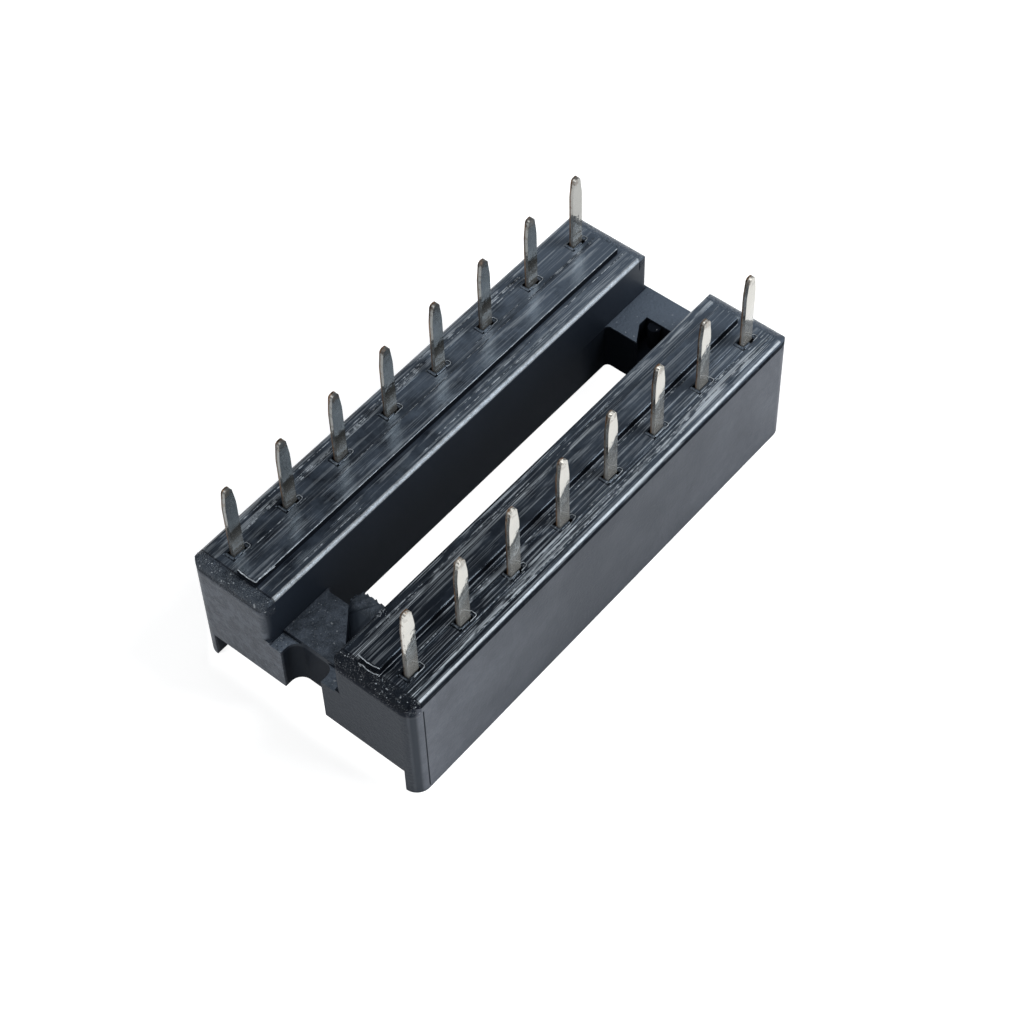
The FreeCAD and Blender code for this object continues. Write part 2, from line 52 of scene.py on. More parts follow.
BLACK = (0.0035, 0.0052, 0.0088, 1)
PALE = (0.50, 0.53, 0.56, 1)
GLOSS_TINT = (0.70, 0.84, 1.0, 1)

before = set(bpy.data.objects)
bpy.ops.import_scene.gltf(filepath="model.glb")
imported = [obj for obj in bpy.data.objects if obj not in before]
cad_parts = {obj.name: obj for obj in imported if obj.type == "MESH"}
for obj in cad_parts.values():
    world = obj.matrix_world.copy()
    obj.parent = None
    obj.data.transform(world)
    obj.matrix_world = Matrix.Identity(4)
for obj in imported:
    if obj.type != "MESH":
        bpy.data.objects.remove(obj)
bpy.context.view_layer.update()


class Field:
    """A number, vector or colour inside a node tree. Arithmetic on it adds the nodes it takes."""

    def __init__(self, tree, socket):
        self.tree = tree
        self.socket = socket

    def maths(self, operation, *others):
        sockets = dict(enumerate((self,) + others))
        return self.tree.node("ShaderNodeMath", {"operation": operation}, sockets)[0]

    def vectors(self, operation, sockets):
        settings = {"operation": operation}
        return self.tree.node("ShaderNodeVectorMath", settings, {0: self, **sockets})[0]

    def __add__(self, other):
        return self.maths("ADD", other)

    __radd__ = __add__

    def __mul__(self, other):
        return self.maths("MULTIPLY", other)

    __rmul__ = __mul__

    def __sub__(self, other):
        return self.maths("SUBTRACT", other)

    def __rsub__(self, other):
        return self.tree.node("ShaderNodeMath", {"operation": "SUBTRACT"}, {0: other, 1: self})[0]

    def __abs__(self):
        return self.maths("ABSOLUTE")

    def __truediv__(self, other):
        return self.maths("DIVIDE", other)

    def __pow__(self, other):
        return self.maths("POWER", other)

    def capped(self):
        """The number held between 0 and 1."""
        return self.maths("MINIMUM", 1).maths("MAXIMUM", 0)

    def scaled(self, factors):
        """The vector times three numbers."""
        return self.vectors("MULTIPLY", {1: factors})

    def parts(self):
        return self.tree.node("ShaderNodeSeparateXYZ", {}, {0: self})

    def above(self, level, soft):
        """1 where the number is over a level, 0 where it is under, with a soft step between."""
        ends = {"Value": self, "From Min": level - soft, "From Max": level + soft}
        return self.tree.node("ShaderNodeMapRange", {"interpolation_type": "SMOOTHSTEP"}, ends)[0]

    def between(self, low, high, soft):
        return self.above(low, soft) * (1 - self.above(high, soft))


class Tree:
    """A node tree to which nodes are added by type, settings and the values of their sockets."""

    def __init__(self, tree):
        self.tree = tree

    def node(self, kind, settings, sockets):
        made = self.tree.nodes.new(kind)
        for name, value in settings.items():
            setattr(made, name, value)
        for name, value in sockets.items():
            if isinstance(value, Field):
                self.tree.links.new(value.socket, made.inputs[name])
            else:
                made.inputs[name].default_value = value
        return [Field(self, socket) for socket in made.outputs]

    def noise(self, place, scale, detail=2.0, rough=0.5):
        """Soft random blotches, about 1 / scale across, round 0.5."""
        sockets = {"Vector": place, "Scale": scale, "Detail": detail, "Roughness": rough}
        return self.node("ShaderNodeTexNoise", {}, sockets)[0]

    def blend(self, share, first, second):
        """A colour between two colours."""
        return self.node("ShaderNodeMix", {"data_type": "RGBA"}, {0: share, 6: first, 7: second})[2]


def new_material(name):
    """An empty material, with its tree and the place on the object in millimetres."""
    material = bpy.data.materials.new(name)
    material.use_nodes = True
    material.node_tree.nodes.clear()
    tree = Tree(material.node_tree)
    place = tree.node("ShaderNodeTexCoord", {}, {})[3].scaled((1 / MM, 1 / MM, 1 / MM))
    return material, tree, place


def finish_material(tree, sockets, dull=None):
    """Joins a finish to the material's output. A dull share of it has lost its gloss."""
    surface = tree.node("ShaderNodeBsdfPrincipled", {}, sockets)[0]
    if dull:
        flat = {"Base Color": sockets["Base Color"], "Roughness": 0.9, "Specular IOR Level": 0.08}
        matt = tree.node("ShaderNodeBsdfPrincipled", {}, flat)[0]
        surface = tree.node("ShaderNodeMixShader", {}, {0: dull, 1: surface, 2: matt})[0]
    tree.node("ShaderNodeOutputMaterial", {}, {"Surface": surface})


def bump(tree, height, depth, under=None):
    """A normal roughened by a height of 0 to 1 that stands for a depth in millimetres."""
    sockets = {"Height": height, "Distance": depth * MM, "Strength": 1.0}
    if under:
        sockets["Normal"] = under
    return tree.node("ShaderNodeBump", {}, sockets)[0]


def moulding_zones(tree, place):
    """The parts of the moulding's skin, each 1 inside and 0 outside with a soft border."""
    x, y, z = place.parts()
    level = tree.node("ShaderNodeNewGeometry", {}, {})[1].parts()[2]
    upward = level.above(0.8, 0.12)
    across = abs(y)
    along = abs(x)
    high = z.above(RAIL_TOP - 0.5, 0.15)
    channel = 1 - across.above(INNER_WALL, 0.02)
    at_end = along.above(HALF_LENGTH - 0.1, 0.05)
    outside = (across.above(HALF_WIDTH - 0.06, 0.03) + at_end).capped()
    long_side = across.above(HALF_WIDTH - 0.3, 0.02)
    short_side = along.above(HALF_LENGTH - 0.47, 0.02)

    zone = SimpleNamespace()
    zone.left = y.above(0, 1)
    zone.near = 1 - x.above(0, 1)
    zone.far = (x / (2 * HALF_LENGTH) + 0.5).capped()
    zone.towards_end = along / HALF_LENGTH
    zone.rim = along.above(RIM_LINE, 0.04) * high
    zone.on_rail = z.above(RAIL_TOP - 0.3, 0.1) * level.above(0.3, 0.2)
    zone.ridge = z.above(RIDGE_TOP - 0.06, 0.03) * upward * (1 - zone.rim)
    # the ridges' sides, which get painted shade
    zone.ridge_side = z.between(RAIL_TOP + 0.04, RIDGE_TOP - 0.03, 0.02)
    zone.ridge_side = zone.ridge_side * (1 - level.above(0.5, 0.15))
    # the lower part of the rounded edges, which gets painted shade
    long_bend = long_side * level.between(0.14, 0.6, 0.07)
    short_bend = short_side * zone.near * level.between(0.2, 0.45, 0.08)
    zone.turned = (long_bend + short_bend * 0.6).capped() * high

    zone.side = outside * (1 - level.above(0.3, 0.25))
    zone.end_face = zone.side * at_end
    zone.bar = z.between(BAR_TOP - 0.35, BAR_TOP + 0.25, 0.05) * upward * channel
    zone.far_bar = zone.bar * x.above(0, 1)
    zone.front = zone.bar * (1 - x.above(STRIP_LINE, 0.03))
    zone.wall = (1 - outside) * (1 - zone.on_rail) * (1 - zone.bar)
    hollow = channel * (1 - zone.end_face)
    # the far gate's well and the walls below the near bar, which get painted shade
    zone.pit = hollow * x.above(PIT_START, 0.5) * (1 - z.above(BAR_TOP - 0.07, 0.02))
    zone.notch = hollow * (1 - x.above(NOTCH_END, 0.05)) * (1 - z.above(BAR_TOP - 0.25, 0.05))

    tooled = zone.on_rail * (1 - zone.rim)
    right_edge = (1 - zone.left) * long_side
    zone.streaked = tooled * (1 - zone.ridge)
    zone.outer_lane = zone.streaked * across.above(OUTER_LANE, 0.1)
    zone.inner_lane = zone.streaked * (1 - across.above(RIDGE_INNER - 0.03, 0.03))
    # the tilt of the right rail's rounded outer edge where a painted highlight goes
    zone.outer_line = tooled * right_edge * level.between(0.73, 0.88, 0.03)
    zone.quiet_edge = zone.on_rail * right_edge * (1 - zone.outer_line)
    # the left rail's inner rim, where a painted highlight goes
    zone.inner_line = tooled * zone.left * (1 - across.above(INNER_WALL + 0.14, 0.03))
    return zone


def moulding_noises(tree, place):
    """The patterns in the moulding's skin: lines along the rails, grain, blotches and specks."""
    noise = SimpleNamespace()
    noise.hair_lines = tree.noise(place.scaled((0.14, 17, 17)), 1.0, 2.0, 0.6)
    noise.fine_lines = tree.noise(place.scaled((0.09, 8, 8)), 1.0, 2.0, 0.7)
    noise.broad_lines = tree.noise(place.scaled((0.12, 3.4, 3.4)), 1.0, 2.0, 0.5)
    noise.breaks = tree.noise(place.scaled((0.6, 4.5, 4.5)), 1.0, 3.0, 0.65)
    noise.grain = tree.noise(place, 9.0, 3.0, 0.6)
    noise.fine_grain = tree.noise(place, 24.0, 2.0, 0.6)
    noise.patches = tree.noise(place, 0.45, 3.0, 0.55)
    noise.smudges = tree.noise(place, 1.3, 4.0, 0.6)
    noise.mottle = tree.noise(place, 3.2, 4.0, 0.65)
    noise.specks = tree.noise(place, 6.5, 1.0, 0.5).above(0.73, 0.015)
    scratch = noise.fine_lines.above(0.56, 0.03) + noise.hair_lines.above(0.57, 0.03) * 0.6
    noise.scratch = scratch * noise.breaks.above(0.47, 0.07)
    return noise


def moulding_grooves(place, zone):
    """The parting line by the near right corner, the line along the near rim, and the border of
    the near bar's front strip."""
    x, y, z = place.parts()
    right_face = 1 - y.above(-HALF_WIDTH + 0.03, 0.01)
    parting = x.between(-9.605, -9.55, 0.01) * right_face * z.between(0.15, 4.6, 0.05)
    rim_line = x.between(-RIM_LINE, 0.05 - RIM_LINE, 0.012) * abs(y).above(INNER_WALL, 0.02)
    strip_line = x.between(STRIP_LINE - 0.02, STRIP_LINE + 0.02, 0.01) * zone.bar
    return (parting + rim_line * zone.on_rail * 0.8 + strip_line).capped()


def rail_colour(tree, zone, noise):
    """Black with a painted sheen that grows to the left and the far end, random smudges, pale
    scratches that are also painted highlights, and painted highlights on its worn rounded edges.
    """
    sheen_and_smudge_grey = (0.060, 0.076, 0.100, 1)
    scuffed_and_highlit = (0.42, 0.46, 0.50, 1)
    rim_grey = (0.024, 0.030, 0.040, 1)
    # painted sheen: the black is painted lighter towards the far end and on the left, with random
    # smudges mixed in
    smudged = (noise.smudges - 0.5) * (0.4 + zone.left + zone.far)
    sheen_and_smudges = zone.left * 0.25 + zone.far * zone.far * 1.1 + smudged
    colour = tree.blend(sheen_and_smudges.capped(), BLACK, sheen_and_smudge_grey)
    # pale scratches along the tool lines, painted pale also as the painted highlight that those
    # lines catch
    scraped_and_highlit = zone.streaked * (0.3 + zone.outer_lane * 0.5 + zone.inner_lane * 0.25)
    scraped_and_highlit = scraped_and_highlit * (1 - zone.left * 0.6) * (1 - zone.quiet_edge * 0.7)
    rubbed_and_painted_light = noise.scratch * (scraped_and_highlit + zone.ridge * 0.2)
    colour = tree.blend(rubbed_and_painted_light.capped(), colour, scuffed_and_highlit)
    # painted highlight: the right rail's rounded outer edge and the left rail's inner rim are
    # painted pale over worn grain
    grit = noise.fine_grain.above(0.5, 0.2) * 0.35 + noise.mottle.above(0.5, 0.2) * 0.35
    worn = zone.outer_line * (0.45 + grit) + zone.inner_line * (0.2 + grit * 0.9)
    colour = tree.blend(worn.capped(), colour, PALE)
    return tree.blend(zone.rim * zone.near * zone.left * noise.smudges, colour, rim_grey)


def side_colour(tree, zone, noise):
    """Mottled grey, paler towards the ends, with painted shade on the right half of the end faces.
    """
    grey = (0.080, 0.086, 0.104, 1)
    dark = (0.012, 0.014, 0.022, 1)
    end_grey = (0.060, 0.068, 0.086, 1)
    end_shade_and_mottle = (0.012, 0.015, 0.022, 1)
    ends = zone.towards_end ** 1.5 * 0.8 + (noise.patches - 0.5) * 1.2
    colour = tree.blend(ends.capped(), dark, grey)
    # painted shade: the right half of each end face is painted darker than the left half
    colour = tree.blend(zone.end_face, colour, tree.blend(zone.left, end_shade_and_mottle, end_grey))
    mottled = noise.mottle.above(0.5, 0.12) * (0.3 + zone.end_face * 0.5)
    return tree.blend(mottled, colour, end_shade_and_mottle)


def moulding_colour(tree, zone, noise, grooves):
    """The colour of the whole moulding: black in its grooves, painted shade in its hollows, on the
    ridges' sides and on the lower part of its rounded edges, painted light on the far bar, pale
    specks and painted glints.
    """
    wall_grey = (0.010, 0.014, 0.022, 1)
    bar_dark = (0.008, 0.011, 0.016, 1)
    bar_grey = (0.050, 0.060, 0.078, 1)
    painted_light_and_rubbed_grey = (0.090, 0.112, 0.145, 1)
    colour = tree.blend(zone.wall, rail_colour(tree, zone, noise), wall_grey)
    colour = tree.blend(zone.side, colour, side_colour(tree, zone, noise))
    bar_tone = tree.blend(noise.mottle.above(0.5, 0.25), bar_dark, bar_grey)
    colour = tree.blend(zone.bar, colour, bar_tone)
    # painted light: the far bar's top is painted lighter, as where more light falls; the near bar's
    # front strip is paler in random breaks
    rubbed_and_painted_light = zone.far_bar * 0.85 + zone.front * noise.breaks * (1 - zone.far_bar)
    colour = tree.blend(rubbed_and_painted_light.capped(), colour, painted_light_and_rubbed_grey)
    # painted shade: the lower part of the rounded edges, the ridges' sides, the far gate's well and
    # the walls below the near bar go black, along with the dark grooves
    shaded = grooves * 0.9 + zone.turned * (0.4 + noise.mottle) + zone.ridge_side
    shaded = shaded + zone.pit + zone.notch * 0.5
    colour = tree.blend(shaded.capped(), colour, BLACK)
    # pale specks on the rims, sides and bars, which also serve as painted glints of the grain
    speck_and_glint_share = zone.rim * zone.near * 0.5 + zone.side * 0.03 + zone.bar * 0.3
    colour = tree.blend(noise.specks * speck_and_glint_share, colour, PALE)
    # painted glints: pale points on the sparked grain of the near rims, the near bar and the end
    # faces
    glint_share = (zone.rim * noise.mottle.above(0.5, 0.1) * 0.2 + zone.bar * 0.08) * zone.near
    painted_glints = noise.fine_grain.above(0.58, 0.05) * glint_share
    painted_glints = painted_glints + noise.fine_grain.above(0.6, 0.05) * zone.end_face * 0.03
    return tree.blend(painted_glints, colour, PALE)


def moulding_normal(tree, zone, noise, grooves):
    """The tool lines on the rails, sparked grain on the rims and bars, and the grooves."""
    height = noise.hair_lines * 0.35 + noise.fine_lines * 0.6 + noise.broad_lines * 0.35
    share = zone.streaked * (0.8 - zone.left * 0.4) + zone.outer_lane * 0.4 + zone.ridge * 0.25
    normal = bump(tree, height * share, 0.075)
    share = zone.rim + zone.bar * 0.45 + zone.side * 0.12 + zone.end_face * 0.15
    normal = bump(tree, noise.grain * share, 0.09, normal)
    share = 0.25 + zone.side * 0.4 + zone.bar * 0.5
    normal = bump(tree, noise.fine_grain * share, 0.010, normal)
    return bump(tree, 1 - grooves, 0.03, normal)


def moulding_material():
    """Black glass-filled plastic: tool streaks on the rails, sparked grain on the ends and bars,
    fine matt sides."""
    material, tree, place = new_material("black_moulding")
    zone = moulding_zones(tree, place)
    noise = moulding_noises(tree, place)
    grooves = moulding_grooves(place, zone)
    roughness = 0.15 + (noise.broad_lines - 0.5) * 0.15 * zone.streaked
    roughness = roughness + noise.scratch * zone.streaked * 0.1 + (noise.fine_grain - 0.5) * 0.08
    roughness = roughness + zone.rim * 0.08 + zone.side * 0.34 + zone.bar * 0.3 + zone.wall * 0.3
    dull = zone.turned * 0.8 + zone.ridge_side + zone.pit + zone.notch * 0.4 + zone.wall * 0.4
    dull = dull + zone.end_face * (1 - zone.left) * 0.4 + zone.quiet_edge * 0.7
    dull = dull + zone.rim * zone.near * (0.8 - zone.left * 0.65) + grooves * 0.9
    finish_material(tree, {
        "Base Color": moulding_colour(tree, zone, noise, grooves),
        "Roughness": roughness,
        "Normal": moulding_normal(tree, zone, noise, grooves),
        "Specular Tint": GLOSS_TINT,
    }, dull.capped())
    return material


def scuff_and_highlight_material(name, share):
    """The same plastic where it is torn or worn by rubbing, a share of it pale, as whitened plastic
    and as a painted highlight: burrs, grit, tool lines.
    """
    material, tree, place = new_material(name)
    speckle = tree.noise(place, 5.0, 2.0, 0.6)
    streak = tree.noise(place.scaled((0.5, 8, 8)), 1.0, 2.0, 0.6)
    dark = (0.010, 0.013, 0.018, 1)
    pale = (0.50, 0.54, 0.58, 1)
    finish_material(tree, {
        # a share is pale, as whitened plastic and as a painted highlight
        "Base Color": tree.blend((speckle.above(0.55, 0.08) * 0.6 + share).capped(), dark, pale),
        "Roughness": 0.22 + streak * 0.3,
        "Normal": bump(tree, speckle, 0.01),
        "Specular Tint": GLOSS_TINT,
    })
    return material


def contact_material():
    """Dull tin plate with fine draw lines, worn to brown bronze on the sheared edges and tips.
    The feet are painted greyer, with random blotches, as a painted reflection of the dark plastic;
    the left row is painted darker as shade, less so at the far end; the right row is slightly
    twisted."""
    material, tree, place = new_material("tinned_bronze")
    x, y, z = place.parts()
    facing = tree.node("ShaderNodeNewGeometry", {}, {})[1].parts()
    sheared = 1 - abs(facing[1]).above(0.5, 0.15)
    left = y.above(0, 1)
    behind = (y + ROW - left * (2 * ROW)).above(0.025, 0.03)
    foot = 1 - z.above(RAIL_TOP + 1.0, 0.8)
    sunk = 1 - z.above(RAIL_TOP - 0.04, 0.04)
    tip = z.above(RAIL_TOP + 2.95, 0.15)
    drawn = tree.noise(place.scaled((10, 10, 0.7)), 1.0, 2.0, 0.5)
    blotch = tree.noise(place, 1.3, 3.0, 0.6)
    spots = tree.noise(place, 5.0, 3.0, 0.6)
    aside = (x + HALF_ROW).maths("WRAP", PITCH / 2, -PITCH / 2)
    twist = bump(tree, aside * (z - RAIL_TOP - 1.9) * (1 - left) * 0.25, 1.0)

    tin = (0.60, 0.585, 0.545, 1)
    blotch_and_reflection_grey = (0.42, 0.43, 0.43, 1)
    shaded_left_tin = (0.16, 0.17, 0.17, 1)
    bronze = (0.22, 0.13, 0.075, 1)
    dark_bronze = (0.040, 0.026, 0.018, 1)
    shadow_grey = (0.02, 0.02, 0.02, 1)
    # painted reflection: the lower part of each tail is painted greyer, with random blotches
    colour = tree.blend((foot * 0.4 + (blotch - 0.5) * 0.9).capped(), tin, blotch_and_reflection_grey)
    # painted shade: the left row is painted darker, less so towards the far end
    colour = tree.blend(left * (0.8 - foot * 0.3 - x.above(8.0, 0.5) * 0.3), colour, shaded_left_tin)
    worn = sheared * behind * (0.9 + (blotch - 0.5) * 1.2) + tip * spots.above(0.52, 0.06) * 0.4
    worn = (worn + sheared * spots.above(0.58, 0.05) * 0.35).capped()
    colour = tree.blend(worn, colour, tree.blend(drawn.above(0.55, 0.15), dark_bronze, bronze))
    roughness = 0.1 + worn * 0.35 + tip * 0.2 + sunk * 0.4
    roughness = roughness + (drawn - 0.5) * 0.08 + (blotch - 0.5) * 0.06
    finish_material(tree, {
        "Base Color": tree.blend(sunk, colour, shadow_grey),
        "Metallic": (0.95 - worn * 0.4 - foot * (0.4 - left * 0.15)) * (1 - sunk),
        "Roughness": roughness,
        "Normal": bump(tree, drawn * 0.3 + blotch * 2, 0.012, twist),
    })
    return material


def floor_material():
    """A pale matt table that looks white and keeps the shadow, except under the part, where a
    painted pool of light lifts it for the camera and its reflections get painted shadow.
    """
    material, tree, place = new_material("pale_table")
    x, y, _ = place.parts()
    clear = (abs(x).above(HALF_LENGTH, 0.8) + abs(y).above(HALF_WIDTH, 0.8)).capped()
    path = tree.node("ShaderNodeLightPath", {}, {})
    seen, mirrored, through = path[0], path[3], path[6]
    # painted light and shadow: to the camera the floor glows more under the part, a painted pool of
    # light in its shadow; reflections of the floor get no glow there, a painted shadow
    glow_with_painted_pool = seen * (0.95 - clear * 0.45) + (mirrored + through) * clear * 0.42
    matt = tree.node("ShaderNodeBsdfDiffuse", {}, {"Color": (0.82, 0.82, 0.82, 1)})[0]
    glow = tree.node("ShaderNodeEmission", {}, {"Color": (1, 1, 1, 1), "Strength": glow_with_painted_pool})[0]
    both = tree.node("ShaderNodeAddShader", {}, {0: matt, 1: glow})[0]
    tree.node("ShaderNodeOutputMaterial", {}, {"Surface": both})
    return material


def paint(node, material):
    """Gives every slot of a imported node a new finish."""
    for slot in node.material_slots:
        slot.material = material


def add_object(name, data):
    """A new object in the scene."""
    made = bpy.data.objects.new(name, data)
    bpy.context.scene.collection.objects.link(made)
    return made


def new_tree(name, inputs):
    """An empty geometry tree with named inputs, and the fields that they give inside it."""
    group = bpy.data.node_groups.new(name, "GeometryNodeTree")
    group.interface.new_socket("Geometry", in_out="INPUT", socket_type="NodeSocketGeometry")
    for label, kind in inputs.items():
        group.interface.new_socket(label, in_out="INPUT", socket_type=f"NodeSocket{kind}")
    group.interface.new_socket("Geometry", in_out="OUTPUT", socket_type="NodeSocketGeometry")
    tree = Tree(group)
    fields = tree.node("NodeGroupInput", {}, {})
    return group, tree, fields[0], dict(zip(inputs, fields[1:]))


def end_tree(tree, shape, finish):
    """Makes real faces of the shape, gives them their finish and sends them out."""
    real = tree.node("GeometryNodeRealizeInstances", {}, {0: shape})[0]
    dressed = tree.node("GeometryNodeSetMaterial", {}, {"Geometry": real, "Material": finish})[0]
    tree.node("NodeGroupOutput", {}, {0: dressed})


def bead_tree():
    """A thin uneven bead of plastic along each line of a mesh, thinner towards its ends."""
    inputs = dict.fromkeys(("Radius", "Step", "Wander", "Uneven"), "Float")
    inputs["Finish"] = "Material"
    group, tree, lines, size = new_tree("bead", inputs)
    curve = tree.node("GeometryNodeMeshToCurve", {}, {"Mesh": lines})[0]
    sockets = {"Curve": curve, "Length": size["Step"]}
    curve = tree.node("GeometryNodeResampleCurve", {"mode": "LENGTH"}, sockets)[0]
    spot = tree.node("GeometryNodeInputPosition", {}, {})[0]
    sway = tree.node("ShaderNodeTexNoise", {}, {"Vector": spot, "Scale": 3 / MM, "Detail": 2.0})[1]
    sway = sway.vectors("SUBTRACT", {1: (0.5, 0.5, 0.5)}).vectors("SCALE", {"Scale": size["Wander"]})
    curve = tree.node("GeometryNodeSetPosition", {}, {"Geometry": curve, "Offset": sway})[0]
    swell = tree.node("ShaderNodeTexNoise", {}, {"Vector": spot, "Scale": 6 / MM, "Detail": 1.0})[0]
    share = tree.node("GeometryNodeSplineParameter", {}, {})[0]
    ends = 1 - abs(share * 2 - 1) ** 6
    thick = ends * (1 + (swell - 0.5) * 3 * size["Uneven"]) + 0.02
    curve = tree.node("GeometryNodeSetCurveRadius", {}, {"Curve": curve, "Radius": thick})[0]
    sockets = {"Resolution": 8, "Radius": size["Radius"]}
    ring = tree.node("GeometryNodeCurvePrimitiveCircle", {}, sockets)[0]
    sockets = {"Curve": curve, "Profile Curve": ring, "Fill Caps": True}
    end_tree(tree, tree.node("GeometryNodeCurveToMesh", {}, sockets)[0], size["Finish"])
    return group


def grit_tree():
    """Small granules in clumps on the faces of a mesh that point up, within a box."""
    inputs = {"Density": "Float", "Seed": "Int", "Low": "Vector", "High": "Vector"}
    inputs.update({"Smallest": "Float", "Largest": "Float", "Finish": "Material"})
    group, tree, skin, size = new_tree("grit", inputs)
    sockets = {"Mesh": skin, "Density": size["Density"], "Seed": size["Seed"]}
    settings = {"distribute_method": "RANDOM"}
    spread = tree.node("GeometryNodeDistributePointsOnFaces", settings, sockets)
    spot = tree.node("GeometryNodeInputPosition", {}, {})[0].parts()
    low, high = size["Low"].parts(), size["High"].parts()
    inside = spread[1].parts()[2].maths("GREATER_THAN", 0.3)
    for axis in range(3):
        inside = inside * spot[axis].maths("GREATER_THAN", low[axis])
        inside = inside * spot[axis].maths("LESS_THAN", high[axis])
    clumps = tree.node("ShaderNodeTexNoise", {}, {"Scale": 2.5 / MM, "Detail": 1.0})[0]
    inside = inside * clumps.maths("GREATER_THAN", 0.5)
    sockets = {"Geometry": spread[0], "Selection": inside}
    points = tree.node("GeometryNodeSeparateGeometry", {}, sockets)[0]
    granule = tree.node("GeometryNodeMeshIcoSphere", {}, {"Radius": 1.0, "Subdivisions": 1})[0]
    sockets = {2: size["Smallest"], 3: size["Largest"], "Seed": size["Seed"]}
    width = tree.node("FunctionNodeRandomValue", {"data_type": "FLOAT"}, sockets)[1]
    sockets = {0: (0, 0, 0), 1: (6.28, 6.28, 6.28)}
    turn = tree.node("FunctionNodeRandomValue", {"data_type": "FLOAT_VECTOR"}, sockets)[0]
    sockets = {"Points": points, "Instance": granule, "Scale": width, "Rotation": turn}
    end_tree(tree, tree.node("GeometryNodeInstanceOnPoints", {}, sockets)[0], size["Finish"])
    return group


def grown_piece(name, source, group, values):
    """Runs a geometry tree over a mesh, and keeps what it makes as a plain piece of the part."""
    seed_bed = add_object(name + "_bed", source)
    modifier = seed_bed.modifiers.new("grow", "NODES")
    modifier.node_group = group
    for item in group.interface.items_tree:
        if item.item_type == "SOCKET" and item.in_out == "INPUT" and item.name in values:
            modifier[item.identifier] = values[item.name]
    seed_bed.update_tag()
    depsgraph = bpy.context.evaluated_depsgraph_get()
    mesh = bpy.data.meshes.new_from_object(seed_bed.evaluated_get(depsgraph))
    bpy.data.objects.remove(seed_bed)
    mesh.name = name
    piece = add_object(name, mesh)
    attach(piece, "root")


def add_beads(name, lines, group, finish, radius, step, wander, uneven):
    """Beads of plastic along lines of points, as one piece. Every length is in millimetres."""
    spots, edges = [], []
    for line in lines:
        first = len(spots)
        spots += [Vector(spot) * MM for spot in line]
        edges += [(number, number + 1) for number in range(first, len(spots) - 1)]
    mesh = bpy.data.meshes.new(name + "_lines")
    mesh.from_pydata(spots, edges, [])
    values = {
        "Radius": radius * MM,
        "Step": step * MM,
        "Wander": wander * MM,
        "Uneven": uneven,
        "Finish": finish,
    }
    grown_piece(name, mesh, group, values)


def add_slot_burrs(group, pale, dark):
    """The plastic raised round each slot where the strip was pressed in: a pale hook at its far
    corner, pale partly as a painted highlight, and dark crumbs that close its ends and narrow its
    front."""
    chance = random.Random(11)
    hooks, crumbs = [], []
    for side in (1, -1):
        for number in range(TAILS):
            x, y = number * PITCH - HALF_ROW, side * ROW
            end = x + SLOT_END + 0.02
            front = y - SLOT_SIDE - 0.02
            back = chance.uniform(-0.02, 0.08)
            run = chance.uniform(0.15, 0.6)
            hooks.append([
                (end - 0.1, y + back, RAIL_TOP),
                (end, y + back - 0.05, RAIL_TOP + 0.01),
                (end, front + 0.04, RAIL_TOP + 0.015),
                (end - 0.06, front, RAIL_TOP + 0.01),
                (end - run, front, RAIL_TOP),
            ])
            for shut in (x - SLOT_END + 0.07, x + SLOT_END - 0.065):
                rise = RAIL_TOP - chance.uniform(0.045, 0.065)
                crumbs.append([(shut, y + SLOT_SIDE, rise), (shut, y - SLOT_SIDE + 0.03, rise)])
            rise = RAIL_TOP - chance.uniform(0.06, 0.08)
            stop = x + chance.uniform(0.0, 0.3)
            crumbs.append([(x - 0.3, y - 0.16, rise), (stop, y - 0.155, rise)])
    add_beads("slot_burrs", hooks, group, pale, radius=0.013, step=0.03, wander=0.05, uneven=1.5)
    add_beads("slot_crumbs", crumbs, group, dark, radius=0.065, step=0.03, wander=0.05, uneven=0.8)


def add_ridge_burrs(group, finish):
    """Flash along the near ends of the two ridges, and a fine raised edge along each."""
    low, high = RAIL_TOP + 0.02, RIDGE_TOP - 0.01
    end = RIDGE_NEAR - 0.01
    torn = [
        [(end, RIDGE_OUTER - 0.05, high), (end - 0.02, 2.7, high), (end, RIDGE_INNER, high)],
        [
            (end, RIDGE_INNER, high),
            (end + 0.5, RIDGE_INNER - 0.01, high),
            (end + 0.9, RIDGE_INNER, high - 0.02),
        ],
        [(end, -RIDGE_INNER, high), (end - 0.03, -2.6, high - 0.05), (end, -RIDGE_OUTER, high)],
        [(end - 0.1, -2.3, low), (end - 0.14, -2.75, low), (end - 0.08, -3.1, low)],
    ]
    add_beads("ridge_burrs", torn, group, finish, radius=0.020, step=0.05, wander=0.10, uneven=1.2)
    inner, outer = RIDGE_INNER + 0.01, -RIDGE_OUTER - 0.02
    edges = [
        [(end, inner, high + 0.005), (RIDGE_FAR, inner, high + 0.005)],
        [(end - 0.1, outer, RAIL_TOP), (RIDGE_FAR, outer, RAIL_TOP)],
    ]
    add_beads("ridge_edges", edges, group, finish, radius=0.010, step=0.15, wander=0.02, uneven=2.0)


